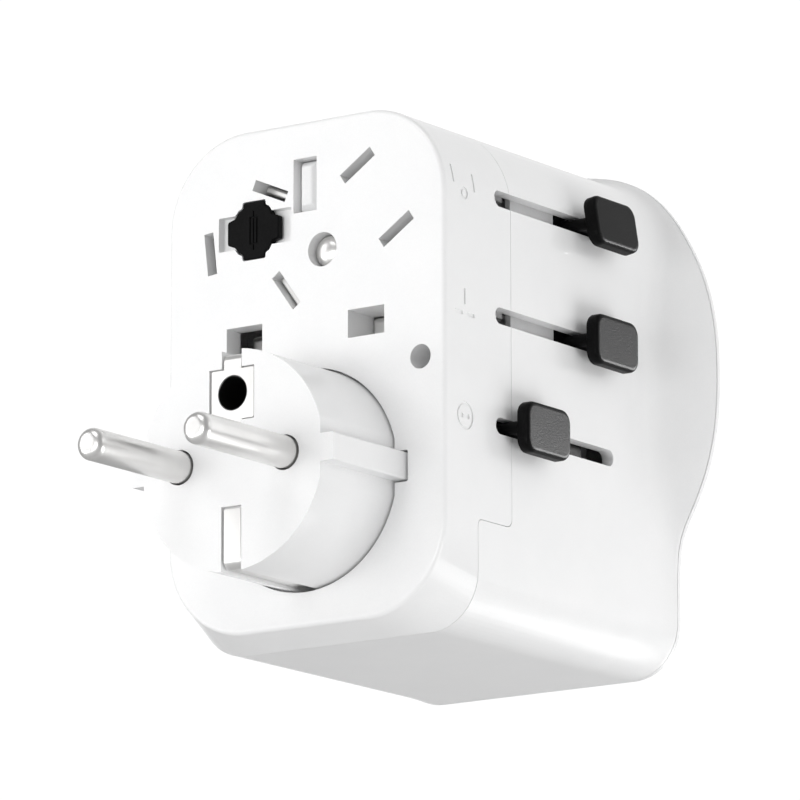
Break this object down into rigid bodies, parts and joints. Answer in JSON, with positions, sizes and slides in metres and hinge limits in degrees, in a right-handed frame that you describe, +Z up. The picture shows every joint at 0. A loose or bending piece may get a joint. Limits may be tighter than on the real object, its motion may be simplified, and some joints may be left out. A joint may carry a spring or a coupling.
{
  "type": "universal travel adapter",
  "caption": "White plug adapter: four plug sets slide out of its wall face by knobs, the round European one is out; a recessed socket sits in a flared flange behind.",
  "frame": {"origin": "centre of the body's flat underside, half way between the wall face and the socket face", "axes": "+Z up; -Y is the wall face, where the plug sets come out; +Y is the socket face; +X is the side with the three knobs"},
  "size_m": [0.0672, 0.1008, 0.0803],
  "materials": {
    "housing_white": "smooth satin-gloss white moulding",
    "inner_white": "white moulding seen through the slots",
    "black_plastic": "fine-grained black moulding",
    "nickel": "bright nickel plate",
    "brass": "plain stamped brass",
    "spring_steel": "zinc-plated steel",
    "ceramic": null
  },
  "bodies": {
    "housing": {"front_cover": "housing_white", "main_housing": "housing_white", "rear_plate": "housing_white", "socket_earth_clip_top": "nickel", "socket_earth_clip_bottom": "nickel", "contact_carrier": "inner_white", "line_socket_contact": "brass", "neutral_socket_contact": "brass", "earth_socket_contact": "brass", "line_busbar": "brass", "neutral_busbar": "brass", "earth_busbar": "brass", "interlock_bar": "inner_white", "fuse_barrel": "inner_white", "fuse_spring": "spring_steel", "shutter_spring_right": "spring_steel", "shutter_spring_left": "spring_steel", "cover_screw_right": "spring_steel", "cover_screw_left": "spring_steel"},
    "us_plug": {"us_slider": "black_plastic", "us_carriage": "inner_white", "us_line_blade": "nickel", "us_neutral_blade": "nickel", "us_ground_pin": "nickel"},
    "uk_plug": {"uk_slider": "black_plastic", "uk_carriage": "inner_white", "uk_line_pin": "nickel", "uk_neutral_pin": "nickel", "uk_earth_pin": "inner_white"},
    "au_plug": {"au_slider": "black_plastic", "au_carriage": "inner_white", "au_line_blade": "nickel", "au_neutral_blade": "nickel", "au_earth_blade": "nickel"},
    "eu_plug": {"eu_slider": "black_plastic", "eu_carriage": "inner_white", "eu_module": "housing_white", "eu_line_pin": "nickel", "eu_neutral_pin": "nickel", "eu_earth_clip_top": "nickel", "eu_earth_clip_bottom": "nickel", "eu_earth_sleeve": "nickel"},
    "fuse": {"fuse_cap": "black_plastic", "fuse_cartridge": "ceramic"},
    "shutter": {"socket_shutter": "inner_white"}
  },
  "joints": [
    {"name": "us_slide", "type": "slide", "parent": "housing", "child": "us_plug", "axis": [0, -1, 0], "range_m": [0, 0.0184]},
    {"name": "uk_slide", "type": "slide", "parent": "housing", "child": "uk_plug", "axis": [0, -1, 0], "range_m": [0, 0.0184]},
    {"name": "au_slide", "type": "slide", "parent": "housing", "child": "au_plug", "axis": [0, -1, 0], "range_m": [0, 0.0184]},
    {"name": "eu_slide", "type": "slide", "parent": "housing", "child": "eu_plug", "axis": [0, 1, 0], "range_m": [0, 0.0184]},
    {"name": "fuse_pull", "type": "slide", "parent": "housing", "child": "fuse", "axis": [0, -1, 0], "range_m": [0, 0.012]},
    {"name": "shutter_slide", "type": "slide", "parent": "housing", "child": "shutter", "axis": [0, 0, 1], "range_m": [0, 0.0042], "stiffness_N_per_m": 40, "springref_m": -0.003, "deforming": ["shutter_spring_right", "shutter_spring_left"]}
  ]
}
